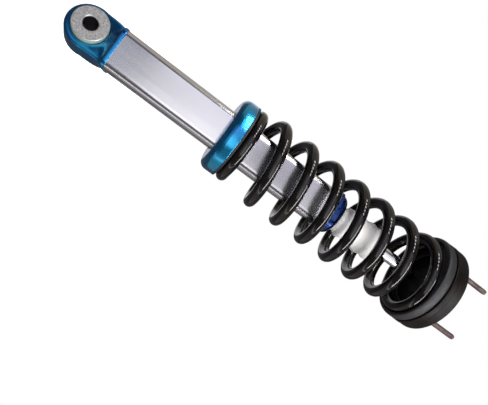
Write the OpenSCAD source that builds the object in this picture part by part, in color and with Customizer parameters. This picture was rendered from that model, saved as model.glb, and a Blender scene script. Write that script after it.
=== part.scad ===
// Coil-over strut with a spring, a gas-charged damper and a three-stud top mount.
// Millimetres. Origin at the centre of the lower eye's bolt hole. +Z runs up the strut.
// The bolt hole runs along Y. One flat of the body faces -Y turned by body_turn about Z.

/* [Overall] */
// Eye centre to the top face of the top plate
eye_to_plate = 587; // [580:1:720]
// Width across the flats of the body
body_w = 55; // [50:0.5:60]
// Corner radius of the body section
body_corner = 10; // [6:0.5:14]
// Wall of the body at the middle of each flat
body_wall = 4.5; // [4:0.5:7.5]
// Length of the body
body_l = 339; // [320:1:345]
// Turn of the body and the studs about the strut, from the eye
body_turn = 19; // [0:1:90]

/* [Lower eye] */
// Bolt hole
bolt_d = 18; // [12:0.5:20]
// Wall of the eye outside the bush
eye_wall = 8.25; // [6:0.25:12]
// Width of the eye housing
eye_w = 27; // [24:1:36]
// Reach of the bolt sleeve past each side of the housing
sleeve_reach = 7.5; // [5:0.5:12]
// Wall of the bolt sleeve
sleeve_wall = 3; // [2.5:0.25:5]
// Rubber between the bolt sleeve and its shell
bush_rubber = 8.5; // [5:0.5:12]
// Shell round the bush
bush_shell = 1.5; // [1:0.25:2]
// Reach of the thrust washers past the bush
washer_lap = 0.5; // [0.5:0.25:4]
// Eye centre to the end of the body
cap_h = 41; // [38:1:50]

/* [Spring] */
// Wire
wire_d = 16; // [12:0.5:17]
// Gap between the small lower end coil and the body's corners
tail_gap = 2.75; // [2:0.25:6]
// Step outward from the lower end coil to the full coils
coil_step = 7.5; // [0:0.5:12]
// Eye centre to the underside of the spring perch
perch_z = 201; // [170:1:225]
// Reach of the spring perch past the lower end coil
perch_lip = 0; // [-2:0.5:4]
// Height of the spring perch
perch_h = 21.5; // [16:0.5:28]

/* [Rod and gland] */
// Piston rod
rod_d = 18; // [16:0.5:20]
// Reach of the gland past each flat of the body
gland_lip = 2.75; // [1:0.25:5]
// Length of the bump stop
bump_l = 80; // [60:1:80]
// Outside of the bump stop
bump_d = 50; // [42:0.5:54]

/* [Top mount] */
// Reach of the top plate past the coils
plate_lip = 7; // [5:0.5:14]
// Thickness of the top plate
plate_t = 24; // [20:0.5:28]
// Stud thread
stud_d = 8; // [6:0.5:10]
// Circle through the stud centres
stud_pcd = 92; // [80:1:100]
// Stud length above the plate
stud_l = 58; // [30:1:70]
// Thread at the top of the rod
rod_thread_d = 14; // [12:0.5:16]

/* [Hidden] */
$fn = 96;
fit = 0.05;
shank = 0.35;
eye_round = 3.5;
corner_reach = (body_w / 2 - body_corner) * sqrt(2) + body_corner;
bore_d = body_w - 2 * body_wall;
sleeve_d = bolt_d + 2 * sleeve_wall;
bush_d = sleeve_d + 2 * (bush_rubber + bush_shell);
washer_d = bush_d + 2 * washer_lap;
eye_d = bush_d + 2 * eye_wall;
sleeve_l = eye_w + 2 * sleeve_reach;
tail_d = 2 * (corner_reach + tail_gap + wire_d);
coil_d = tail_d + 2 * coil_step;
perch_d = tail_d + 2 * perch_lip;
gland_d = body_w + 2 * gland_lip;
plate_d = coil_d + 2 * plate_lip;
z_body = cap_h + body_l;
z_nose = z_body + 17;
z_perch = perch_z + perch_h;
z_spring = z_perch + 2.5;
z_plate = eye_to_plate - plate_t;
z_seat = z_plate - 2.5;
z_iso = z_seat - 3;
z_shoulder = z_seat - 0.5;
z_sleeve = z_shoulder + 3;
z_cap_washer = eye_to_plate - 2;
z_spigot = z_body - 28;
z_rod = z_spigot - 10.5;
spigot_r = bore_d / 2;
rod_r = rod_d / 2;
stub_r = 6;
body_r = body_w / 2;
wire_r = wire_d / 2;
coil_r = coil_d / 2 - wire_r;
tail_r = tail_d / 2 - wire_r;
z_lo = z_spring + wire_r;
z_hi = z_iso - wire_r;
pitch = (z_hi - z_lo) / 7.0962;
hub_r = 29;
washer_r = 22;
thread_r = rod_thread_d / 2;
iso_r = coil_r - wire_r - 5;

function arc(cx, cy, r, a0, a1, n) = [for (i = [0:n]) let (a = a0 + (a1 - a0) * i / n)
  [cx + r * cos(a), cy + r * sin(a)]];
function ease(x) = let (c = min(1, max(0, x))) c * c * (3 - 2 * c);
function hermite(s, p0, p1, m0, m1) = (2 * s * s * s - 3 * s * s + 1) * p0 + (s * s * s - 2 * s * s + s) * m0
  + (3 * s * s - 2 * s * s * s) * p1 + (s * s * s - s * s) * m1;

// Flat-sided section with round corners, grown by g
module section(g = 0) {
  w = body_r + g;
  r = body_corner + g;
  square([2 * w, 2 * (w - r)], center = true);
  square([2 * (w - r), 2 * w], center = true);
  for (x = [-1, 1], y = [-1, 1]) translate([x * (w - r), y * (w - r)]) circle(r);
}

// Neck of the eye, with round corners
module slab() {
  w = eye_d / 2 - 1.5;
  d = eye_w / 2;
  square([2 * w, 2 * (d - eye_round)], center = true);
  square([2 * (w - eye_round), 2 * d], center = true);
  for (x = [-1, 1], y = [-1, 1]) translate([x * (w - eye_round), y * (d - eye_round)]) circle(eye_round);
}

module bar(z0, z1, g = 0) rotate(body_turn) translate([0, 0, z0]) linear_extrude(z1 - z0) section(g);

module tube(z0, z1, r1, r0) translate([0, 0, z0]) difference() {
  cylinder(h = z1 - z0, r = r1);
  translate([0, 0, -1]) cylinder(h = z1 - z0 + 2, r = r0);
}

// A cylinder along Y, from y0 to y1
module across(y0, y1, r) translate([0, y0, 0]) rotate([-90, 0, 0]) cylinder(h = y1 - y0, r = r);

module round_ring(z, r, s) translate([0, 0, z]) rotate_extrude() translate([r, 0]) circle(s, $fn = 24);

module eye_cap() color([0.05, 0.35, 0.62]) difference() {
  union() {
    rotate([-90, 0, 0]) translate([0, 0, -eye_w / 2]) rotate_extrude() polygon(concat([[0, 0]],
      arc(eye_d / 2 - eye_round, eye_round, eye_round, -90, 0, 5),
      arc(eye_d / 2 - eye_round, eye_w - eye_round, eye_round, 0, 90, 5), [[0, eye_w]]));
    intersection() {
      linear_extrude(cap_h - 5) slab();
      union() {
        bar(0, cap_h, 1.25);
        cylinder(h = 14, r = eye_d);
      }
    }
    bar(cap_h - 7, cap_h, 1.25);
    intersection() {
      bar(cap_h - 19, cap_h - 5, 1.25);
      translate([0, 0, cap_h - 19]) cylinder(h = 14, r1 = eye_d / 2 - 1, r2 = body_r + 7);
      difference() {
        translate([-60, -eye_w / 2 - 12, cap_h - 19]) cube([120, eye_w + 24, 14]);
        for (s = [-1, 1]) translate([-70, s * (eye_w / 2 + 11.5), cap_h - 19]) rotate([0, 90, 0])
          cylinder(h = 140, r = 12);
      }
    }
    translate([0, 0, cap_h - 4]) cylinder(h = 24, r = spigot_r);
  }
  across(-eye_w, eye_w, bush_d / 2);
  tube(cap_h + 8, cap_h + 12, spigot_r + 1, spigot_r - 2.8);
  translate([0, 0, cap_h + 14]) cylinder(h = 10, r = spigot_r - 6);
}

module eye_shell() color([0.55, 0.55, 0.52]) difference() {
  across(-eye_w / 2, eye_w / 2, bush_d / 2);
  across(-eye_w, eye_w, bush_d / 2 - bush_shell);
}

module eye_rubber() color([0.05, 0.05, 0.05]) difference() {
  across(-eye_w / 2 + 1.5, eye_w / 2 - 1.5, bush_d / 2 - bush_shell);
  across(-eye_w, eye_w, sleeve_d / 2 + fit);
}

module eye_sleeve() color([0.62, 0.62, 0.6]) rotate([-90, 0, 0]) translate([0, 0, -sleeve_l / 2])
  rotate_extrude() polygon([[bolt_d / 2 + 1.5, 0], [sleeve_d / 2, 0], [sleeve_d / 2, sleeve_l],
    [bolt_d / 2 + 1.5, sleeve_l], [bolt_d / 2, sleeve_l - 1.5], [bolt_d / 2, 1.5]]);

module eye_washers() color([0.6, 0.6, 0.57]) for (s = [0, 1]) mirror([0, s, 0]) rotate([-90, 0, 0])
  translate([0, 0, eye_w / 2 + 0.5]) rotate_extrude() polygon([[sleeve_d / 2, 0], [washer_d / 2, 0],
    [washer_d / 2, sleeve_reach - 1.3], [washer_d / 2 - 0.8, sleeve_reach - 0.5],
    [sleeve_d / 2, sleeve_reach - 0.5]]);

module body_tube() color([0.72, 0.72, 0.74]) difference() {
  bar(cap_h, z_body);
  translate([0, 0, cap_h - 1]) cylinder(h = body_l + 2, r = spigot_r);
  difference() {
    bar(perch_z, perch_z + 3, 3);
    bar(perch_z - 1, perch_z + 4, -1.2);
  }
}

module cap_ring() color([0.04, 0.04, 0.04]) round_ring(cap_h + 10, spigot_r - 1.4, 1.4);

module snap_ring() color([0.35, 0.35, 0.36]) difference() {
  bar(perch_z, perch_z + 3, 1.5);
  bar(perch_z - 1, perch_z + 4, -1.2);
  rotate(body_turn + 180) translate([body_r - 6, -4, perch_z - 1]) cube([12, 8, 5]);
}

module spring_perch() color([0.04, 0.42, 0.72]) difference() {
  union() {
    translate([0, 0, perch_z]) rotate_extrude() polygon(concat([[0, 0], [perch_d / 2 - 12, 0]],
      arc(perch_d / 2 - 11, 11, 11, -85, 0, 8), [[perch_d / 2, perch_h - 0.8],
      [perch_d / 2 - 0.8, perch_h], [0, perch_h]]));
    translate([0, 0, perch_z]) cylinder(h = perch_h + 6, r = tail_r - wire_r - 0.5);
  }
  bar(perch_z - 1, perch_z + 60);
  bar(perch_z - 1, perch_z + 3, 1.5);
}

module lower_isolator() color([0.03, 0.03, 0.035]) tube(z_perch, z_spring, perch_d / 2, tail_r - wire_r - 0.5);

function coil_z(t) = t < 0.4 ? z_lo : t < 0.9 ? hermite((t - 0.4) / 0.5, z_lo, z_lo + 0.5915 * pitch, 0, 0.5 * pitch)
  : t < 7.25 ? z_lo + (t - 0.3085) * pitch
  : t < 7.6 ? hermite((t - 7.25) / 0.35, z_hi - 0.1547 * pitch, z_hi, 0.35 * pitch, 0) : z_hi;
function coil_rad(t) = tail_r + (coil_r - tail_r) * ease((t - 0.4) / 0.6);

module coil_spring() color([0.02, 0.02, 0.025]) {
  n = 198;
  k = 12;
  t0 = wire_d * 0.68 / pitch - 0.494;
  t1 = 8.3377 - wire_d * 1.08 / pitch;
  pts = [for (i = [0:n]) let (t = t0 + (t1 - t0) * i / n, a = body_turn + 180 + 360 * t, r = coil_rad(t),
    s = wire_r * (i == 0 || i == n ? 0.8 : 1))
    for (j = [0:k - 1]) let (b = 360 * j / k) [(r + s * cos(b)) * cos(a), (r + s * cos(b)) * sin(a),
      coil_z(t) + s * sin(b)]];
  faces = concat([[for (j = [0:k - 1]) j]], [[for (j = [0:k - 1]) n * k + k - 1 - j]],
    [for (i = [0:n - 1], j = [0:k - 1]) [i * k + j, (i + 1) * k + j, (i + 1) * k + (j + 1) % k]],
    [for (i = [0:n - 1], j = [0:k - 1]) [i * k + j, (i + 1) * k + (j + 1) % k, i * k + (j + 1) % k]]);
  polyhedron(pts, faces, convexity = 10);
}

module gland_cap() color([0.04, 0.2, 0.5]) difference() {
  union() {
    translate([0, 0, z_spigot]) cylinder(h = 29, r = spigot_r);
    bar(z_body, z_body + 4, (gland_d - body_w) / 2);
    translate([0, 0, z_body]) rotate_extrude() polygon(concat([[0, 0], [gland_d / 2, 0]],
      arc(gland_d / 2 - 7, 10, 7, 0, 90, 6), [[0, 17]]));
  }
  translate([0, 0, z_spigot - 1]) cylinder(h = 60, r = rod_r + 0.6);
  translate([0, 0, z_spigot - 1]) cylinder(h = 21, r = rod_r + 2.5);
  translate([0, 0, z_spigot + 24]) cylinder(h = 40, r = rod_r + 5);
  tube(z_spigot + 12, z_spigot + 16, spigot_r + 1, spigot_r - 2.8);
}

module gland_ring() color([0.04, 0.04, 0.04]) round_ring(z_spigot + 14, spigot_r - 1.4, 1.4);

module guide_bush() color([0.55, 0.4, 0.2]) tube(z_spigot, z_spigot + 20, rod_r + 2.5, rod_r + fit);

module rod_seal() color([0.1, 0.1, 0.1]) tube(z_spigot + 24, z_spigot + 32, rod_r + 5, rod_r + fit);

module rod_wiper() color([0.07, 0.07, 0.07]) tube(z_nose - 9, z_nose - 0.5, rod_r + 5, rod_r + fit);

function bump_r(x) = bump_d / 2 - 2.2 * (1 - ease((x - 0.2) / 0.45))
  - (2 + 2.4 * ease((0.25 - x) / 0.15)) * (1 + cos(360 * (x * 4.35 - 0.4))) / 2
  - (x > 0.88 ? 5 * pow((x - 0.88) / 0.12, 2) : 0);

module bump_stop() color([0.9, 0.89, 0.86]) {
  n = 60;
  translate([0, 0, z_nose]) rotate_extrude() polygon(concat([[rod_r + 0.6, 0]],
    [for (i = [0:n]) [bump_r(i / n), bump_l * i / n]], [[rod_r + 0.6, bump_l]]));
}

module piston_rod() color([0.85, 0.85, 0.87]) union() {
  translate([0, 0, z_rod]) cylinder(h = z_shoulder - z_rod, r = rod_r);
  translate([0, 0, z_rod - 41]) cylinder(h = 42, r = stub_r);
  translate([0, 0, z_shoulder - 1]) cylinder(h = eye_to_plate + 18 - z_shoulder, r = thread_r);
}

module rebound_plate() color([0.5, 0.5, 0.52]) tube(z_rod - 3, z_rod, 15, stub_r);

module rebound_bumper() color([0.7, 0.55, 0.15]) tube(z_rod, z_rod + 10, 16, rod_r);

module upper_shims() color([0.6, 0.6, 0.62]) for (i = [0:3]) tube(z_rod - 3.75 - 0.75 * i, z_rod - 3 - 0.75 * i,
  18 - 1.5 * (3 - i), stub_r);

module piston() color([0.5, 0.5, 0.53]) difference() {
  tube(z_rod - 26, z_rod - 6, spigot_r - 0.5, stub_r);
  tube(z_rod - 23, z_rod - 9, spigot_r + 1, spigot_r - 2);
  for (i = [0:5]) rotate(60 * i) translate([13, 0, z_rod - 30]) cylinder(h = 30, r = 2.2);
}

module piston_band() color([0.15, 0.3, 0.2]) tube(z_rod - 23, z_rod - 9, spigot_r - fit, spigot_r - 2);

module lower_shims() color([0.6, 0.6, 0.62]) for (i = [0:3]) tube(z_rod - 26.75 - 0.75 * i, z_rod - 26 - 0.75 * i,
  18 - 1.5 * i, stub_r);

module piston_nut() color([0.4, 0.4, 0.42]) difference() {
  translate([0, 0, z_rod - 39]) cylinder(h = 10, r = 11, $fn = 6);
  translate([0, 0, z_rod - 40]) cylinder(h = 12, r = stub_r);
}

module floating_piston() color([0.6, 0.6, 0.62]) difference() {
  translate([0, 0, cap_h + 80]) cylinder(h = 20, r = spigot_r - 0.06);
  translate([0, 0, cap_h + 79]) cylinder(h = 13, r = spigot_r - 7);
  tube(cap_h + 88, cap_h + 92, spigot_r + 1, spigot_r - 2.8);
}

module floating_ring() color([0.04, 0.04, 0.04]) round_ring(cap_h + 90, spigot_r - 1.43, 1.37);

module upper_isolator() color([0.08, 0.08, 0.085]) translate([0, 0, z_iso]) rotate_extrude()
  polygon([[iso_r, 0], [coil_d / 2 + 0.8, 0], [coil_d / 2 + 0.8, -9.5], [plate_d / 2 - 1.4, -9.5],
    [plate_d / 2 - 0.4, -8.5], [plate_d / 2 - 0.4, 3], [iso_r, 3]]);

module upper_seat() color([0.03, 0.03, 0.03]) tube(z_seat, z_plate, plate_d / 2 - 2.6, washer_r + 0.5);

module top_plate() color([0.03, 0.03, 0.032]) difference() {
  translate([0, 0, z_plate]) rotate_extrude() polygon(concat([[hub_r, 0], [plate_d / 2 - 1.2, 0],
    [plate_d / 2, 1.2]], arc(plate_d / 2 - 4, plate_t - 4, 4, 0, 90, 5), [[hub_r + 7, plate_t],
    [hub_r + 5, plate_t - 2], [hub_r, plate_t - 2]]));
  for (i = [0:2]) rotate(body_turn + 90 + 120 * i) translate([stud_pcd / 2, 0, z_plate - 1]) {
    cylinder(h = plate_t + 2, r = stud_d / 2 + shank);
    cylinder(h = 5, r = stud_d / 2 + 3);
  }
}

module top_studs() color([0.5, 0.47, 0.43]) for (i = [0:2]) rotate(body_turn + 90 + 120 * i)
  translate([stud_pcd / 2, 0, z_plate]) {
    cylinder(h = 4, r = stud_d / 2 + 3);
    translate([0, 0, 3]) cylinder(h = plate_t - 3, r = stud_d / 2 + shank);
    translate([0, 0, plate_t - 1]) cylinder(h = stud_l, r = stud_d / 2);
    translate([0, 0, plate_t + stud_l - 1]) cylinder(h = 1, r1 = stud_d / 2, r2 = stud_d / 2 - 1);
  }

module mount_shell() color([0.3, 0.3, 0.31]) tube(z_plate, eye_to_plate - 2, hub_r, hub_r - 1.5);

module mount_rubber() color([0.05, 0.05, 0.05]) tube(z_plate + 1, eye_to_plate - 3, hub_r - 1.5, thread_r + 4);

module mount_sleeve() color([0.55, 0.55, 0.56]) tube(z_sleeve, z_cap_washer, thread_r + 4, thread_r);

module lower_washer() color([0.4, 0.4, 0.41]) tube(z_shoulder, z_sleeve, washer_r, thread_r);

module upper_washer() color([0.5, 0.5, 0.5]) tube(z_cap_washer, z_cap_washer + 3, washer_r, thread_r);

module rod_nut() color([0.55, 0.53, 0.48]) difference() {
  translate([0, 0, z_cap_washer + 3]) cylinder(h = 12, r = 12.7, $fn = 6);
  translate([0, 0, z_cap_washer]) cylinder(h = 20, r = thread_r);
}

eye_cap();
eye_shell();
eye_rubber();
eye_sleeve();
eye_washers();
body_tube();
cap_ring();
snap_ring();
spring_perch();
lower_isolator();
coil_spring();
gland_cap();
gland_ring();
guide_bush();
rod_seal();
rod_wiper();
bump_stop();
piston_rod();
piston_nut();
lower_shims();
piston();
piston_band();
upper_shims();
rebound_plate();
rebound_bumper();
floating_piston();
floating_ring();
upper_isolator();
upper_seat();
top_plate();
top_studs();
mount_shell();
mount_rubber();
mount_sleeve();
lower_washer();
upper_washer();
rod_nut();
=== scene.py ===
# %% [markdown]
# # A coil-over strut, dressed for its portrait
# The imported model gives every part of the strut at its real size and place. This lesson keeps that frame
# still, gives each part the finish it has on the real thing, and remakes the few parts whose shape needs
# more than plain turning, such as the coil spring and the soft bump stop.

# %% Load the frame
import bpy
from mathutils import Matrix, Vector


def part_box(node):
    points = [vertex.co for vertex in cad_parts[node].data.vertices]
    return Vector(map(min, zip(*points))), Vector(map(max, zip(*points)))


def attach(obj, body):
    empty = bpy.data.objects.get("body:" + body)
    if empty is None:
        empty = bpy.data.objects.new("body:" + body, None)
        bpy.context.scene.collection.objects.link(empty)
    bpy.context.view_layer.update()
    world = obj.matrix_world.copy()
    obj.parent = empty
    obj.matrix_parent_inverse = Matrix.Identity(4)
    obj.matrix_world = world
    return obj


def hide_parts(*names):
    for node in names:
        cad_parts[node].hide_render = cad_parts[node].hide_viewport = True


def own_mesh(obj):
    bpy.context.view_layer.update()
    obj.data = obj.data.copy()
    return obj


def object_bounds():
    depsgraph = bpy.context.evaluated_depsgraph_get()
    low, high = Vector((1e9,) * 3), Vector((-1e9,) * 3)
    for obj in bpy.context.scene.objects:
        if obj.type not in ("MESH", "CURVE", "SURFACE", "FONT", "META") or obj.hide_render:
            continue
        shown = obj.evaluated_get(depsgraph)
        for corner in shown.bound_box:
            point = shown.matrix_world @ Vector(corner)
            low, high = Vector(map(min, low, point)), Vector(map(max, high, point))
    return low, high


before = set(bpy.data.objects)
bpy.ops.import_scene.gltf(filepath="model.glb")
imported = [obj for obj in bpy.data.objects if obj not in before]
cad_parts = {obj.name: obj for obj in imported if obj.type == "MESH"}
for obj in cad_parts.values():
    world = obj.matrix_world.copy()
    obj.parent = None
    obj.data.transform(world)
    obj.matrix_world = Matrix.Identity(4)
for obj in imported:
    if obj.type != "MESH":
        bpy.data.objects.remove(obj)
cad_box = [list(corner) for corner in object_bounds()]

import math
import bpy
from mathutils import Matrix, Vector

print("CAD nodes:", len(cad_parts))

# %% [markdown]
# ## Directions round the strut
# The strut stands along Z with its lower eye at the origin. Its flat-sided body is turned about Z from the
# eye, so two directions are worth a name: `front`, which the nearest flat faces, and `side`, along that flat.

# %% Directions
TURN = math.radians(19)
front = Vector((math.sin(TURN), -math.cos(TURN), 0))
side = Vector((math.cos(TURN), math.sin(TURN), 0))
up = Vector((0, 0, 1))
print("front", tuple(round(c, 3) for c in front))

# %% [markdown]
# ## Camera
# A 35 mm lens about 0.6 m from the eye sees the strut run away from it to the lower right. The camera is
# rolled, because the strut lies across the frame with its eye at the top left.

# %% Camera
camera_data = bpy.data.cameras.new("camera")
camera_data.lens = 35.04
camera_data.sensor_width = 36
camera_data.clip_start = 0.01
camera = bpy.data.objects.new("camera", camera_data)
bpy.context.scene.collection.objects.link(camera)
camera.location = (0.25916, -0.57208, 0.15163)
camera.rotation_euler = [math.radians(a) for a in (-109.5, -52.453, -145.317)]
bpy.context.scene.camera = camera
print("camera at", tuple(round(c, 3) for c in camera.location))

# %% [markdown]
# ## Modelling tools
# Most of the strut is turned metal, so most new pieces start as an outline of points that is spun round an
# axis. The outline grows from one point, made by merging a plane, and each extrusion adds the next point.

# %% Tools
def clear_selection():
    if bpy.context.mode != "OBJECT":
        bpy.ops.object.mode_set(mode="OBJECT")
    bpy.ops.object.select_all(action="DESELECT")


def edit(piece):
    clear_selection()
    bpy.context.view_layer.objects.active = piece
    piece.select_set(True)
    bpy.ops.object.mode_set(mode="EDIT")
    bpy.ops.mesh.select_all(action="SELECT")


def smooth(piece, angle=32):
    clear_selection()
    bpy.context.view_layer.objects.active = piece
    piece.select_set(True)
    bpy.ops.object.shade_smooth_by_angle(angle=math.radians(angle))
    return piece


def modify(piece, kind, **settings):
    clear_selection()
    bpy.context.view_layer.objects.active = piece
    piece.select_set(True)
    made = piece.modifiers.new(kind.title(), kind)
    for name, value in settings.items():
        setattr(made, name, value)
    bpy.ops.object.modifier_apply(modifier=made.name)
    return piece


def outline(name, points):
    """A chain of edges through the points, grown by extruding its last point."""
    clear_selection()
    bpy.ops.mesh.primitive_plane_add(size=0.001, location=(0, 0, 0))
    piece = bpy.context.object
    piece.name = name
    edit(piece)
    bpy.ops.mesh.merge(type="CENTER")
    bpy.ops.transform.translate(value=points[0])
    for before, after in zip(points, points[1:]):
        bpy.ops.mesh.extrude_region_move(
            TRANSFORM_OT_translate={"value": Vector(after) - Vector(before)})
    return piece


def weld(piece):
    edit(piece)
    bpy.ops.mesh.remove_doubles(threshold=2e-6)
    bpy.ops.mesh.select_all(action="SELECT")
    bpy.ops.mesh.normals_make_consistent(inside=False)
    clear_selection()
    return piece


def turn(name, points, steps=128, angle=32):
    """Spins a closed outline of (radius, height) points about Z, in metres."""
    loop = list(points) + [points[0]]
    piece = outline(name, [(r, 0, z) for r, z in loop])
    bpy.ops.mesh.select_all(action="SELECT")
    bpy.ops.mesh.spin(steps=steps, angle=math.tau, center=(0, 0, 0), axis=(0, 0, 1))
    return smooth(weld(piece), angle)


def rounded(points, radius, bites=4):
    """Rounds every corner of a closed outline by swinging a small arc across it."""
    soft = []
    for i, corner in enumerate(points):
        here, before, after = Vector(corner), Vector(points[i - 1]), Vector(points[(i + 1) % len(points)])
        reach = min(radius, (before - here).length * 0.45, (after - here).length * 0.45)
        start, end = here + (before - here).normalized() * reach, here + (after - here).normalized() * reach
        for k in range(bites + 1):
            t = k / bites
            soft.append(tuple(start * (1 - t) ** 2 + here * 2 * t * (1 - t) + end * t ** 2))
    return soft


def join(main, *others):
    clear_selection()
    for piece in (main, *others):
        piece.select_set(True)
    bpy.context.view_layer.objects.active = main
    bpy.ops.object.join()
    return main


def settle(piece, body, slot, *nodes):
    """Hands a finished piece to its body, and hides the CAD nodes that it stands for."""
    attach(piece, body)
    if nodes:
        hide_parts(*nodes)
    print(piece.name, len(piece.data.polygons), "faces")
    return piece

MM = 0.001
low = {name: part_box(name)[0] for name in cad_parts}
high = {name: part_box(name)[1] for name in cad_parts}
print("modelling tools ready")

# %% [markdown]
# ## Coil spring
# One steel wire wound into seven open coils. Its ends lie flat on the seats, and the lower end coil is
# smaller. The wire's path is grown point by point, made a curve, and given its thickness by the curve's
# round bevel, which keeps the section true where the path climbs.

# %% Spring path
wire = 8 * MM
foot, head = low["coil_spring"][2] + wire, high["coil_spring"][2] - wire
pitch = (head - foot) / 7.0962
full = high["upper_isolator"][0] - 67.6 * MM + 53 * MM
tail = full - 7.5 * MM


def ease(x):
    x = min(1, max(0, x))
    return x * x * (3 - 2 * x)


def hermite(s, start, end, start_slope, end_slope):
    return ((2 * s ** 3 - 3 * s * s + 1) * start + (s ** 3 - 2 * s * s + s) * start_slope
            + (3 * s * s - 2 * s ** 3) * end + (s ** 3 - s * s) * end_slope)


def climb(t):
    """Height of the wire's centre after t turns: flat, then steady, then flat again."""
    if t < 0.4:
        return foot
    if t < 0.9:
        return hermite((t - 0.4) / 0.5, foot, foot + 0.5915 * pitch, 0, 0.5 * pitch)
    if t < 7.25:
        return foot + (t - 0.3085) * pitch
    if t < 7.6:
        return hermite((t - 7.25) / 0.35, head - 0.1547 * pitch, head, 0.35 * pitch, 0)
    return head


def wire_point(t):
    angle = TURN + math.pi + math.tau * t
    radius = tail + (full - tail) * ease((t - 0.4) / 0.6)
    return (radius * math.cos(angle), radius * math.sin(angle), climb(t))

first, last = wire * 1.36 / pitch - 0.494, 8.3377 - wire * 2.16 / pitch
path = [wire_point(first + (last - first) * i / 480) for i in range(481)]
print("spring of", round(last - first, 2), "turns, pitch", round(pitch / MM, 1), "mm")

# %% Wound spring
spring = outline("spring", path)
clear_selection()
spring.select_set(True)
bpy.ops.object.convert(target="CURVE")
spring = bpy.context.object
spring.data.bevel_depth = wire
spring.data.bevel_resolution = 6
spring.data.use_fill_caps = True
ends = spring.data.splines[0].points
for k, share in enumerate((0.8, 0.95)):
    ends[k].radius = ends[-1 - k].radius = share
bpy.ops.object.convert(target="MESH")
spring = smooth(weld(bpy.context.object), 40)
settle(spring, "top_mount", "gloss_black_steel", "coil_spring")
squeezed = 80 * MM / (head - foot + 2 * wire)
head + wire
1 - squeezed
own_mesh(spring)
print("spring keeps", round(1 - squeezed, 3), "of its length at full travel")

# %% [markdown]
# ## Eye cap
# The blue end cap is milled from a block: a round eye with softly rounded rims, and a neck that sweeps out
# to the square flange that closes the body. A disc is rounded by a bevel, and the neck is a tower of rings
# whose shape changes from the eye's slab to the flange. A boolean joins them, and another bores the eye.

# %% Eye cap parts
def across(name, radius, width, bevel=0.0, steps=128):
    """A cylinder along Y with rounded rims."""
    clear_selection()
    bpy.ops.mesh.primitive_cylinder_add(vertices=steps, radius=radius, depth=width,
                                        rotation=(math.pi / 2, 0, 0))
    piece = bpy.context.object
    piece.name = name
    bpy.ops.object.transform_apply(rotation=True)
    if bevel:
        modify(piece, "BEVEL", width=bevel, segments=6, limit_method="ANGLE", angle_limit=math.radians(50))
    return piece


def reach(angle, half_x, half_y, corner, turned=0.0):
    """How far a rounded rectangle's edge lies from its middle, in one direction."""
    c, s = abs(math.cos(angle - turned)), abs(math.sin(angle - turned))
    inner_x, inner_y = half_x - corner, half_y - corner
    if c > 1e-9 and half_x / c * s <= inner_y:
        return half_x / c
    if s > 1e-9 and half_y / s * c <= inner_x:
        return half_y / s
    along = inner_x * c + inner_y * s
    return along + math.sqrt(max(0, along ** 2 - inner_x ** 2 - inner_y ** 2 + corner ** 2))


def tower(name, rings, sides=144):
    """Stacks rings: each is the last one extruded, with its points then set to their own distance."""
    clear_selection()
    bpy.ops.mesh.primitive_circle_add(vertices=sides, radius=0.02, fill_type="NGON")
    piece = bpy.context.object
    piece.name = name
    edit(piece)
    for _ in rings[1:]:
        bpy.ops.mesh.extrude_region_move(TRANSFORM_OT_translate={"value": (0, 0, 0.001)})
    clear_selection()
    layers = {}
    for vertex in piece.data.vertices:
        layers.setdefault(round(vertex.co.z / 0.001), []).append(vertex)
    for level, (height, distance) in enumerate(rings):
        for vertex in layers[level]:
            angle = math.atan2(vertex.co.y, vertex.co.x)
            far = distance(angle)
            vertex.co = (far * math.cos(angle), far * math.sin(angle), height)
    return weld(piece)


half_w = high["eye_shell"][1]
eye_r = -low["eye_cap"][2]
cap_top = low["body_tube"][2]
body_half = 27.5 * MM
bore = high["eye_shell"][0]
print("eye radius", round(eye_r / MM, 2), "half width", round(half_w / MM, 2))

# %% Neck and flange
def square_ring(half, corner):
    """The body's rounded square, turned with the body, at any size."""
    return lambda angle: reach(angle, half, half, corner, TURN)


def round_ring(radius):
    return lambda angle: radius


def neck_ring(share):
    base = square_ring(body_half + 0.2 * MM, 10.5 * MM)

    def distance(angle):
        slab = reach(angle, eye_r - 0.6 * MM, half_w - 0.05 * MM, 4 * MM)
        return slab + (base(angle) - slab) * share
    return distance


def flange_ring(inset):
    return square_ring(body_half + 1.25 * MM - inset, 11.25 * MM - inset)

slab_end, neck_end = 13 * MM, cap_top - 6.2 * MM
rings = [(4 * MM, neck_ring(0)), (slab_end, neck_ring(0))]
for k in range(1, 13):
    t = k / 12
    rings.append((slab_end + (neck_end - slab_end) * t, neck_ring(1 - math.sqrt(max(0, 1 - t ** 2.2)))))
plug, seal_groove = round_ring(22.9 * MM), round_ring(20.2 * MM)
rings += [(cap_top - 6 * MM, flange_ring(1.0 * MM)), (cap_top - 5.4 * MM, flange_ring(0.35 * MM)),
          (cap_top - 4.6 * MM, flange_ring(0)), (cap_top - 1.4 * MM, flange_ring(0)),
          (cap_top - 0.5 * MM, flange_ring(0.4 * MM)), (cap_top, flange_ring(1.4 * MM)),
          (cap_top + 0.02 * MM, plug), (cap_top + 8 * MM, plug),
          (cap_top + 8.02 * MM, seal_groove), (cap_top + 12 * MM, seal_groove),
          (cap_top + 12.02 * MM, plug), (cap_top + 19.5 * MM, plug),
          (cap_top + 20 * MM, round_ring(22.4 * MM))]
cap = tower("cap", rings)
disc = across("disc", eye_r, 2 * half_w, bevel=4.2 * MM)
modify(cap, "BOOLEAN", object=disc, operation="UNION", solver="EXACT")
step_r, step_depth, cutter_l = 24.2 * MM, 1.0 * MM, 6 * MM
for sign in (-1, 1):
    drill = across("drill", step_r, cutter_l)
    drill.location = (0, sign * (half_w + cutter_l / 2 - step_depth), 0)
    clear_selection()
    drill.select_set(True)
    bpy.ops.object.transform_apply(location=True)
    modify(cap, "BOOLEAN", object=drill, operation="DIFFERENCE", solver="EXACT")
    bpy.data.objects.remove(drill)
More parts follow.
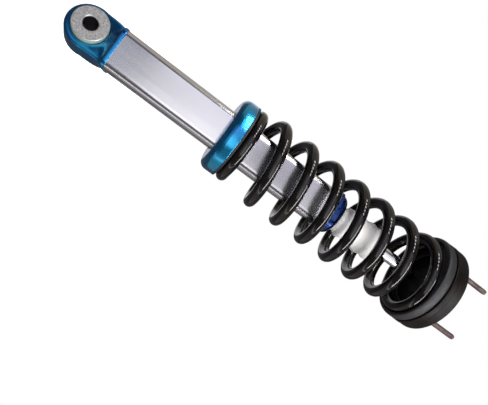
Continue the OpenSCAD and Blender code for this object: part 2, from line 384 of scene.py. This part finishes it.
drill = across("drill", bore + 0.02 * MM, 60 * MM)
modify(cap, "BOOLEAN", object=drill, operation="DIFFERENCE", solver="EXACT")
for tool in (disc, drill):
    bpy.data.objects.remove(tool)
smooth(cap, 38)
settle(cap, "damper", "blue_anodised", "eye_cap")

# %% [markdown]
# ## Bump stop
# A soft foam sleeve on the rod, ringed like a stack of beads so that it squeezes in steps. Its outline is
# one wave, deeper at the foot, and closes over the top.

# %% Bump stop
foot_z, top_z = low["bump_stop"][2], high["bump_stop"][2]
length = top_z - foot_z
bore_r = 9.6 * MM


def bead(x):
    wave = (2 + 2.4 * ease((0.25 - x) / 0.15)) * (1 + math.cos(math.tau * (x * 4.35 - 0.4))) / 2
    return (25 - 2.2 * (1 - ease((x - 0.2) / 0.45)) - wave
            - (5 * ((x - 0.88) / 0.12) ** 2 if x > 0.88 else 0)) * MM

wall = [(bead(i / 72), foot_z + length * i / 72) for i in range(73)]
stop = turn("foam_stop", [(bore_r, foot_z)] + wall + [(bore_r, top_z)], steps=96, angle=60)
settle(stop, "damper", "foam", "bump_stop")

# %% [markdown]
# ## Threads
# A thread is a ridge that climbs one pitch each turn, so a short ridge outline and the Screw modifier make
# it. A plain shank fills the middle, with a chamfered end. The same tool serves the studs and the rod's end.

# %% Thread tool
def threaded(name, radius, z0, z1, step, shank):
    """A threaded bar on Z from z0 to z1, over a turned shank outline."""
    depth = step * 0.58
    turns = int((z1 - z0) / step) - 1
    ridge = outline(name + "_ridge", [(radius - depth, 0, z0), (radius, 0, z0 + step * 0.42),
                                      (radius, 0, z0 + step * 0.58), (radius - depth, 0, z0 + step)])
    clear_selection()
    modify(ridge, "SCREW", axis="Z", angle=math.tau, screw_offset=step, iterations=turns, steps=24,
           render_steps=24, use_merge_vertices=True, merge_threshold=1e-6)
    weld(ridge)
    bar = turn(name, shank, steps=48)
    return smooth(join(bar, smooth(ridge, 28)), 28)

# %% Top studs
stud_r, plate_top, tip = 4 * MM, high["top_plate"][2], high["top_studs"][2]
stud_foot, stud_ring = low["top_studs"][2], 46 * MM
core = stud_r - 0.72 * MM
shank = [(0, stud_foot), (7 * MM, stud_foot), (7 * MM, stud_foot + 3.6 * MM), (6.6 * MM, stud_foot + 4 * MM),
         (stud_r + 0.35 * MM, stud_foot + 4 * MM), (stud_r + 0.35 * MM, plate_top),
         (stud_r, plate_top + 0.3 * MM),
         (stud_r, plate_top + 3 * MM), (core, plate_top + 4 * MM), (core, tip - 3 * MM),
         (stud_r - 0.5 * MM, tip - 2.6 * MM), (stud_r - 0.8 * MM, tip - 0.3 * MM),
         (stud_r - 1.1 * MM, tip), (0, tip)]
stud = threaded("stud", stud_r, plate_top + 2.6 * MM, tip - 1.4 * MM, 1.25 * MM, shank)
studs = []
for k in range(3):
    copy = stud.copy()
    copy.data = stud.data.copy()
    bpy.context.scene.collection.objects.link(copy)
    around = TURN + math.radians(90 + 120 * k)
    copy.location = (stud_ring * math.cos(around), stud_ring * math.sin(around), 0)
    clear_selection()
    copy.select_set(True)
    bpy.context.view_layer.objects.active = copy
    bpy.ops.object.transform_apply(location=True)
    studs.append(copy)
bpy.data.objects.remove(stud)
studs = join(*studs)
studs.name = "studs"
settle(studs, "top_mount", "stud_steel", "top_studs")

# %% Rod end and nut
rod_top = high["piston_rod"][2]
end_r = 7 * MM
shell = [(end_r + 0.02 * MM, plate_top + 6 * MM), (end_r + 0.12 * MM, plate_top + 6 * MM),
         (end_r + 0.12 * MM, rod_top - 0.2 * MM), (end_r - 0.6 * MM, rod_top + 0.1 * MM),
         (0, rod_top + 0.1 * MM), (0, rod_top), (end_r - 0.7 * MM, rod_top)]
rod_end = threaded("rod_end", end_r + 0.55 * MM, plate_top + 12.6 * MM, rod_top - 0.6 * MM, 1.5 * MM, shell)
settle(rod_end, "top_mount", "zinc_steel")

nut_low, nut_high = low["rod_nut"][2], high["rod_nut"][2]
clear_selection()
bpy.ops.mesh.primitive_cylinder_add(vertices=6, radius=12.7 * MM, depth=nut_high - nut_low,
                                    location=(0, 0, (nut_low + nut_high) / 2))
nut = bpy.context.object
nut.name = "nut"
bpy.ops.object.transform_apply(location=True)
cone = turn("cone", [(0, nut_low - 1 * MM), (13.6 * MM, nut_low - 1 * MM), (13.6 * MM, nut_high - 2.4 * MM),
                     (11.2 * MM, nut_high + 1 * MM), (0, nut_high + 1 * MM)], steps=96)
hole_r = end_r + 0.06 * MM
hole = turn("hole", [(0, nut_low - 2 * MM), (hole_r, nut_low - 2 * MM), (hole_r, nut_high - 0.9 * MM),
                     (end_r + 2 * MM, nut_high + 1 * MM), (0, nut_high + 1 * MM)], steps=64)
modify(nut, "BOOLEAN", object=cone, operation="INTERSECT", solver="EXACT")
modify(nut, "BOOLEAN", object=hole, operation="DIFFERENCE", solver="EXACT")
for tool in (cone, hole):
    bpy.data.objects.remove(tool)
smooth(nut, 25)
settle(nut, "top_mount", "zinc_steel", "rod_nut")

# %% [markdown]
# ## Top mount
# A rubber ring seats the spring. Above it a groove shows the pressed seat, and then comes the thick plate
# with rounded rims. They are turned outlines whose corners are all rounded, because rims catch the light.

# %% Seat ring and plate
iso_low, iso_high = low["upper_isolator"][2], high["upper_isolator"][2]
iso_out, iso_in, coil_out = high["upper_isolator"][0], 40 * MM, 61.8 * MM
seat = iso_low + 9.5 * MM
ring = turn("seat_rubber", rounded([
    (iso_in, seat), (coil_out, seat), (coil_out, iso_low), (iso_out - 1.2 * MM, iso_low),
    (iso_out, iso_low + 4 * MM), (iso_out, iso_high), (iso_in, iso_high)], 1.6 * MM))
settle(ring, "top_mount", "rubber", "upper_isolator")

plate_out, plate_low, hub = high["top_plate"][0], low["top_plate"][2], 29 * MM
plate = turn("mount_plate", rounded([
    (hub, plate_low), (plate_out - 0.2 * MM, plate_low), (plate_out, plate_low + 8 * MM),
    (plate_out - 0.5 * MM, plate_low + 8.6 * MM), (plate_out - 0.5 * MM, plate_top - 3.4 * MM),
    (plate_out - 3.4 * MM, plate_top), (hub + 7 * MM, plate_top), (hub + 5 * MM, plate_top - 2 * MM),
    (hub, plate_top - 2 * MM)], 1.2 * MM), steps=160)
holes = []
for k in range(3):
    around = TURN + math.radians(90 + 120 * k)
    clear_selection()
    for radius, depth, height in ((stud_r + 0.38 * MM, 60 * MM, (plate_low + plate_top) / 2),
                                  (7.03 * MM, 8.06 * MM, plate_low)):
        bpy.ops.mesh.primitive_cylinder_add(
            vertices=48, radius=radius, depth=depth,
            location=(stud_ring * math.cos(around), stud_ring * math.sin(around), height))
        bpy.ops.object.transform_apply(location=True)
        holes.append(bpy.context.object)
for drill in holes:
    modify(plate, "BOOLEAN", object=drill, operation="DIFFERENCE", solver="EXACT")
for drill in holes:
    bpy.data.objects.remove(drill)
smooth(plate, 25)
settle(plate, "top_mount", "gloss_black_steel", "top_plate")

# %% [markdown]
# ## Spring perch and gland
# The perch is a thick turned collar, full and round on its under edge, bored square to fit the body. The
# gland is a square flange with a rounded nose. Both are softened everywhere, because dyed metal shows each
# edge as a bright line.

# %% Spring perch
perch_low, perch_rim = low["spring_perch"][2], low["lower_isolator"][2]
perch_r, collar_top, collar_r = high["spring_perch"][0], high["spring_perch"][2], 37 * MM
belly = 11 * MM
under = [(perch_r - belly + belly * math.sin(a), perch_low + belly - belly * math.cos(a))
         for a in [math.radians(5 + 85 * k / 12) for k in range(13)]]
rim = rounded([(perch_r, perch_low + 14 * MM), (perch_r, perch_rim), (collar_r, perch_rim),
               (collar_r, collar_top), (20 * MM, collar_top)], 1.0 * MM)
perch = turn("perch", [(20 * MM, perch_low)] + under + rim[5:-5] + [(20 * MM, collar_top)], steps=192, angle=40)
fit, wide = square_ring(body_half + 0.03 * MM, 10 * MM), square_ring(29 * MM, 11.5 * MM)
square = tower("square", [(perch_low - 5 * MM, fit), (collar_top + 5 * MM, fit)])
groove = tower("groove", [(perch_low - 5 * MM, wide), (perch_low + 3 * MM, wide)])
for drill in (square, groove):
    modify(perch, "BOOLEAN", object=drill, operation="DIFFERENCE", solver="EXACT")
    bpy.data.objects.remove(drill)
smooth(perch, 30)
settle(perch, "damper", "blue_anodised", "spring_perch")

# %% Gland
z_body, nose_z = high["body_tube"][2], high["gland_cap"][2]
gland_r = body_half + 2.75 * MM
full_ring = square_ring(gland_r, 12.75 * MM)
flange = tower("gland", [(z_body, square_ring(gland_r - 0.6 * MM, 12.1 * MM)),
                         (z_body + 0.6 * MM, full_ring), (z_body + 3.2 * MM, full_ring),
                         (z_body + 4 * MM, square_ring(gland_r - 0.8 * MM, 11.9 * MM))])
seal_r, deep = 14 * MM, low["gland_cap"][2]
brow = 7 * MM
dome = [(gland_r - brow + brow * math.sin(a), nose_z - brow + brow * math.cos(a))
        for a in [math.radians(90 - 90 * k / 14) for k in range(15)]]
rod_way = 11.5 * MM
nose = turn("nose", [(rod_way, deep), (22.9 * MM, deep), (22.9 * MM, z_body + 1 * MM),
                     (gland_r - 0.1 * MM, z_body + 1 * MM)] + dome
            + [(15 * MM, nose_z), (seal_r, nose_z - 1 * MM), (seal_r, deep + 24 * MM),
               (rod_way, deep + 24 * MM)], angle=40)
pipe = turn("pipe", [(0, z_body - 5 * MM), (seal_r + 0.5 * MM, z_body - 5 * MM),
                     (seal_r + 0.5 * MM, nose_z + 2 * MM), (0, nose_z + 2 * MM)])
modify(flange, "BOOLEAN", object=pipe, operation="DIFFERENCE", solver="EXACT")
bpy.data.objects.remove(pipe)
gland = smooth(join(flange, nose), 30)
settle(gland, "damper", "blue_anodised", "gland_cap")

# %% [markdown]
# ## Shader arithmetic
# Procedural finishes are sums and products of a few patterns. A `Wire` is a value on its way through the
# node tree: adding or multiplying two of them adds the Math node. `Finish.node` makes any other node.

# %% Wires and finishes
class Wire:
    def __init__(self, finish, socket):
        self.finish, self.socket = finish, socket

    def maths(self, operation, first, second=None):
        values = {0: first} if second is None else {0: first, 1: second}
        return self.finish.node("Math", {"operation": operation}, values)

    def __add__(self, other): return self.maths("ADD", self, other)
    def __radd__(self, other): return self.maths("ADD", other, self)
    def __sub__(self, other): return self.maths("SUBTRACT", self, other)
    def __rsub__(self, other): return self.maths("SUBTRACT", other, self)
    def __mul__(self, other): return self.maths("MULTIPLY", self, other)
    def __rmul__(self, other): return self.maths("MULTIPLY", other, self)
    def __pow__(self, other): return self.maths("POWER", self, other)


class Finish:
    def __init__(self, name, **constants):
        self.material = bpy.data.materials.new(name)
        self.material.use_nodes = True
        self.tree = self.material.node_tree
        self.shader = self.tree.nodes["Principled BSDF"]
        for socket, value in constants.items():
            self.set(socket.replace("_", " ").title().replace("Ior", "IOR"), value)

    def put(self, socket, value):
        if isinstance(value, Wire):
            self.tree.links.new(value.socket, socket)
        elif isinstance(value, tuple) and len(value) == 3 and len(socket.default_value) == 4:
            socket.default_value = (*value, 1)
        else:
            socket.default_value = value

    def set(self, name, value):
        self.put(self.shader.inputs[name], value)

    def node(self, kind, settings={}, values={}, output=0):
        made = self.tree.nodes.new("ShaderNode" + kind)
        for name, value in settings.items():
            if name == "stops":
                ramp = made.color_ramp
                while len(ramp.elements) < len(value):
                    ramp.elements.new(0.5)
                for element, (place, colour) in zip(ramp.elements, value):
                    element.position = place
                    element.color = (*colour, 1) if len(colour) == 3 else colour
            else:
                setattr(made, name, value)
        for name, value in values.items():
            self.put(made.inputs[name], value)
        return Wire(self, made.outputs[output])

    def place(self, scale=(1, 1, 1)):
        spot = self.node("TexCoord", output="Object")
        return self.node("Mapping", {}, {"Vector": spot, "Scale": scale})

    def noise(self, scale=(1, 1, 1), detail=3.0, rough=0.5, at=None):
        return self.node("TexNoise", {}, {"Vector": at or self.place(scale), "Scale": 1.0,
                                          "Detail": detail, "Roughness": rough})

    def ramp(self, value, *stops):
        return self.node("ValToRGB", {"stops": stops}, {"Fac": value})

    def levels(self, value, low, high, to_low=0.0, to_high=1.0):
        return self.node("MapRange", {}, {0: value, 1: low, 2: high, 3: to_low, 4: to_high})

    def mix(self, share, first, second):
        return self.node("Mix", {"data_type": "RGBA"}, {0: share, 6: first, 7: second}, output=2)

    def mottle(self, scale, dark, light, detail=3.0):
        """Base colour that wanders between two shades."""
        self.set("Base Color", self.ramp(self.noise(scale, detail=detail), (0.3, dark), (0.7, light)))

    def sheen(self, scale, low, high):
        """Roughness that wanders between two values."""
        self.set("Roughness", self.levels(self.noise(scale), 0.3, 0.7, low, high))

    def bump(self, height, strength, distance):
        self.set("Normal", self.node("Bump", {}, {"Height": height, "Strength": strength,
                                                  "Distance": distance}))

    def turned(self, rings):
        """Lathe lines round Z: they follow the distance from the axis and the height."""
        spot = self.node("TexCoord", output="Object")
        flat = self.node("VectorMath", {"operation": "MULTIPLY"}, {0: spot, 1: (1, 1, 0)})
        radius = self.node("VectorMath", {"operation": "LENGTH"}, {0: flat}, output="Value")
        height = self.node("SeparateXYZ", {}, {0: spot}, output="Z")
        line = self.node("CombineXYZ", {}, {"X": radius * rings, "Y": height * rings})
        return self.noise(detail=2.0, at=line)


def wear(finish, *pieces):
    """Gives pieces a finish: CAD nodes by name, new pieces as objects."""
    for piece in pieces:
        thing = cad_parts[piece] if isinstance(piece, str) else piece
        thing.data.materials.clear()
        thing.data.materials.append(finish.material)

print("shader tools ready")

# %% [markdown]
# ## Blue anodising
# The eye cap, spring perch and gland are turned aluminium dyed blue under a clear oxide skin. The metal
# shines through the dye, so this is a metal with a blue base colour and a thin gloss coat over it. The
# gland's dye is deeper than the others.

# %% Blue anodising
def dyed(name, dark, light):
    dye = Finish(name, metallic=1.0, coat_weight=0.6, coat_roughness=0.14)
    lathe = dye.turned(2600)
    dye.set("Base Color", dye.ramp(dye.noise((26, 26, 26), detail=4.0), (0.32, dark), (0.68, light)))
    dye.sheen((60, 60, 60), 0.2, 0.32)
    dye.bump(lathe, 0.1, 0.0002)
    return dye

blue = dyed("blue_anodising", (0.004, 0.13, 0.46), (0.02, 0.4, 0.7))
navy = dyed("deep_blue_anodising", (0.006, 0.03, 0.16), (0.015, 0.07, 0.3))
wear(blue, cap, perch)
wear(navy, gland)
print("blue anodising on the cap, perch and gland")

# %% [markdown]
# ## Drawn and satin-anodised aluminium
# The body is a drawn section, so its grain runs along Z: noise squeezed across and stretched along.

# %% Satin body
satin = Finish("satin_aluminium", metallic=1.0)
grain = satin.noise((260, 260, 6), detail=1.0)
cloud = satin.noise((14, 14, 5), detail=3.0)
tint = satin.ramp(cloud, (0.3, (0.63, 0.62, 0.67)), (0.7, (0.72, 0.715, 0.74)))
satin.set("Base Color", satin.mix(satin.levels(grain, 0.3, 0.7, 0.0, 0.12), tint, (0.5, 0.49, 0.52)))
satin.set("Roughness", satin.levels(cloud, 0.3, 0.7, 0.18, 0.24))
satin.bump(cloud, 0.02, 0.0003)
wear(satin, "body_tube", "piston", "floating_piston")
print("satin aluminium on the body")

# %% [markdown]
# ## Gloss black powder coat
# Powder coat is a thick, glossy plastic skin. It is smooth but never flat: a fine orange peel bends its
# reflections a little.

# %% Gloss black
gloss = Finish("gloss_powder_coat", coat_weight=0.35, coat_roughness=0.04, specular_ior_level=0.38)
gloss.mottle((18, 18, 18), (0.002, 0.0015, 0.0015), (0.006, 0.0035, 0.003))
peel = gloss.noise((420, 420, 420), detail=2.0)
gloss.sheen((60, 60, 60), 0.12, 0.2)
gloss.bump(peel, 0.06, 0.0003)
wear(gloss, spring, "mount_shell")

paint = Finish("satin_black_paint", specular_ior_level=0.14)
paint.mottle((22, 22, 22), (0.003, 0.0025, 0.0025), (0.009, 0.007, 0.006))
paint.sheen((80, 80, 80), 0.34, 0.48)
paint.bump(paint.noise((500, 500, 500), detail=2.0), 0.1, 0.0003)
wear(paint, plate, "upper_seat", "lower_washer")
print("gloss black on the spring and mount")

# %% Rubber
rubber = Finish("rubber", specular_ior_level=0.4)
rubber.mottle((40, 40, 40), (0.014, 0.014, 0.016), (0.024, 0.024, 0.026))
rubber.sheen((90, 90, 90), 0.42, 0.6)
rubber.bump(rubber.noise((700, 700, 700)), 0.25, 0.0003)
wear(rubber, ring, "eye_rubber", "cap_ring", "gland_ring", "rod_seal", "rod_wiper", "floating_ring",
     "mount_rubber", "lower_isolator")
print("rubber done")

# %% Foam
foam = Finish("bump_foam")
foam.mottle((30, 30, 30), (0.8, 0.77, 0.76), (0.88, 0.86, 0.85))
foam.sheen((200, 200, 200), 0.55, 0.75)
foam.bump(foam.noise((900, 900, 900)), 0.15, 0.0003)
wear(foam, stop, "rebound_bumper")
print("foam done")

# %% Hard chrome
chrome = Finish("hard_chrome", metallic=1.0)
chrome.mottle((20, 20, 20), (0.72, 0.72, 0.75), (0.8, 0.8, 0.82))
chrome.sheen((40, 40, 400), 0.05, 0.12)
wear(chrome, "piston_rod")
print("chrome done")

# %% [markdown]
# ## Zinc plate
# The bush washers are steel under yellowish zinc plate: grey and speckled on the worn faces, yellow-green
# on the side walls where nothing has rubbed. Distance from the bolt's axis tells the two apart. It also
# puts a painted shade in the bore: inside it the colour is near-black.

# %% Zinc
def plated(name, worn, fresh, radius, bore_shade_radius=-1.0):
    zinc = Finish(name, metallic=0.55)
    speck = zinc.noise((420, 420, 420), detail=5.0, rough=0.7)
    dull, bright = tuple(c * 0.6 for c in worn), tuple(c * 1.35 for c in worn)
    face = zinc.ramp(speck, (0.34, dull), (0.5, worn), (0.62, bright))
    spot = zinc.node("TexCoord", output="Object")
    flat = zinc.node("VectorMath", {"operation": "MULTIPLY"}, {0: spot, 1: (1, 0, 1)})
    far = zinc.node("VectorMath", {"operation": "LENGTH"}, {0: flat}, output="Value")
    outside = zinc.mix(zinc.levels(far, radius - 0.0006, radius - 0.0002), face, fresh)
    # Painted shade: inside the eye's bore, near the bolt's axis, the colour turns near-black.
    zinc.set("Base Color", zinc.mix(zinc.levels(far, bore_shade_radius, bore_shade_radius + 0.0004), (0.012, 0.011, 0.012), outside))
    zinc.set("Roughness", zinc.levels(speck, 0.3, 0.7, 0.34, 0.52))
    zinc.bump(speck, 0.2, 0.0002)
    return zinc

# Its last number sets the bore's painted shade: near-black within 9.2 mm of the axis.
zinc_and_bore_shade = plated("zinc_and_bore_shade", (0.4, 0.39, 0.39), (0.55, 0.57, 0.42), high["eye_washers"][0], 0.0092)
wear(zinc_and_bore_shade, "eye_shell", "eye_sleeve", "eye_washers")
steel = plated("plain_steel", (0.4, 0.39, 0.38), (0.4, 0.39, 0.38), 1.0)
wear(steel, "upper_washer", nut, rod_end, "mount_sleeve", "snap_ring", "rebound_plate", "upper_shims",
     "lower_shims", "piston_nut")
print("zinc and steel done")

# %% Stud steel and bronze
rust = Finish("stud_steel", metallic=0.8)
rust.mottle((180, 180, 60), (0.17, 0.12, 0.11), (0.33, 0.27, 0.26), detail=4.0)
rust.sheen((300, 300, 300), 0.4, 0.6)
wear(rust, studs)

bronze = Finish("bronze", metallic=1.0, roughness=0.35)
bronze.mottle((60, 60, 60), (0.3, 0.19, 0.08), (0.45, 0.3, 0.14))
wear(bronze, "guide_bush", "piston_band")
print("stud steel and bronze done")

# %% [markdown]
# ## Floor and light
# The floor is pale and plain. The camera sees a white room, but what the gloss reflects is a dimmer studio,
# because a black coil looks black only when most of what it mirrors is dark. Crisp highlights on gloss come
# from lamps that only mirrors see, so they don't wash out the soft parts. The broad key and haze lamps lie
# side by side in front of the body's flat, with a dimmer pair above and a bluish one below, and so the flat
# shades from dull at the eye to bright at the perch. The small bright lamps are cut off after one bounce,
# because second reflections of them turn to grain.

# %% Floor
bpy.context.scene.view_settings.view_transform = "Standard"
clear_selection()
bpy.ops.mesh.primitive_plane_add(size=30, location=(0, 0, cad_box[0][2] - 0.002))
floor = bpy.context.object
floor.name = "floor"
paper = Finish("floor_paper", roughness=0.95, emission_strength=1.0)
paper.mottle((3, 3, 3), (0.86, 0.86, 0.86), (0.88, 0.88, 0.88))
paper.set("Emission Color", (1.0, 1.0, 1.0))
floor.data.materials.append(paper.material)
floor.visible_glossy = floor.visible_diffuse = False
print("floor at z", round(cad_box[0][2] - 0.002, 4))

# %% World
world = bpy.data.worlds.new("studio")
bpy.context.scene.world = world
world.use_nodes = True
sky = world.node_tree
sky.nodes.clear()
seen, dim, pick, out, ray = [sky.nodes.new("ShaderNode" + kind) for kind in
                             ("Background", "Background", "MixShader", "OutputWorld", "LightPath")]
seen.inputs["Color"].default_value = (1, 1, 1, 1)
dim.inputs["Color"].default_value = (0.93, 0.88, 1.0, 1)
dim.inputs["Strength"].default_value = 0.11
sky.links.new(ray.outputs["Is Camera Ray"], pick.inputs[0])
sky.links.new(dim.outputs[0], pick.inputs[1])
sky.links.new(seen.outputs[0], pick.inputs[2])
sky.links.new(pick.outputs[0], out.inputs["Surface"])
print("world ready")

# %% Lamps
def lamp(name, place, target, size, brightness, seen_by="all", along=None, colour=(1, 1, 1)):
    """A flat rectangular lamp that faces a target. Brightness is what a mirror of it shows."""
    data = bpy.data.lights.new(name, "AREA")
    data.shape = "RECTANGLE"
    data.size, data.size_y = size
    data.energy = brightness * math.pi * size[0] * size[1]
    data.color = colour
    thing = bpy.data.objects.new(name, data)
    bpy.context.scene.collection.objects.link(thing)
    thing.location = place
    thing.visible_camera = False
    thing.visible_diffuse = seen_by != "mirrors"
    thing.visible_glossy = seen_by != "matt"
    away = (Vector(place) - Vector(target)).normalized()
    across_lamp = along if along is not None else side
    across_lamp = (across_lamp - away * across_lamp.dot(away)).normalized()
    upward = away.cross(across_lamp)
    thing.rotation_mode = "QUATERNION"
    thing.rotation_quaternion = Matrix((across_lamp, upward, away)).transposed().to_quaternion()
    return thing


def spot_at(right, near, height):
    return side * right + front * near + up * height

middle = spot_at(0, 0, 0.3)
tilted = side + up * 0.16
lamp("key", spot_at(0.25, 1.2, 0.2), middle, (0.72, 0.5), 1.6, along=tilted)
lamp("key_high", spot_at(0.25, 1.2, 0.86), middle, (0.72, 0.8), 1.0, along=tilted)
lamp("haze", spot_at(-0.42, 1.2, 0.2), middle, (0.6, 0.5), 1.2, "mirrors", colour=(0.93, 0.94, 1.0))
lamp("haze_high", spot_at(-0.42, 1.2, 0.86), middle, (0.6, 0.8), 0.7, "mirrors", colour=(0.9, 0.9, 1.0))
lamp("low", spot_at(-0.1, 1.15, -0.42), middle, (1.3, 0.6), 0.5, "mirrors", colour=(0.74, 0.82, 1.0))
lamp("soft", spot_at(0.9, 1.4, 0.9), middle, (1.2, 1.2), 10.5, "matt")
lamp("lift", spot_at(-1.2, 0.9, 0.1), middle, (1.0, 1.0), 4.2, "matt")
lamp("warm", spot_at(-1.3, -0.1, 0.4), middle, (2.0, 2.0), 0.4, "mirrors", colour=(1.0, 0.92, 0.72))
lamp("far_side", spot_at(1.5, -0.1, 0.4), middle, (2.0, 1.6), 0.28, "mirrors", colour=(1.0, 0.95, 0.85))
lamp("behind", spot_at(-0.5, -1.4, 0.5), middle, (1.3, 1.5), 0.6)
lamp("above", spot_at(0.1, -0.5, 1.9), middle, (1.2, 1.2), 0.65)
lamp("edge", spot_at(1.1, 0.3, 0.3), middle, (0.12, 2.0), 1.6, "mirrors", along=front)
strip = lamp("strip", spot_at(0.35, 0.72, 1.12), spot_at(0, 0, 0.4), (1.5, 0.16), 17, "mirrors")
strip.data.cycles.max_bounces = 1
for k in range(5):
    swing = math.radians(-74 + 9 * k)
    place = spot_at(0.95 * math.sin(swing), 0.95 * math.cos(swing), 0.42 + 0.01 * k)
    window = lamp(f"window_{k}", place, spot_at(0, 0, 0.4), (0.055, 0.26), 17, "mirrors")
    window.data.cycles.max_bounces = 1
print("lamps ready")
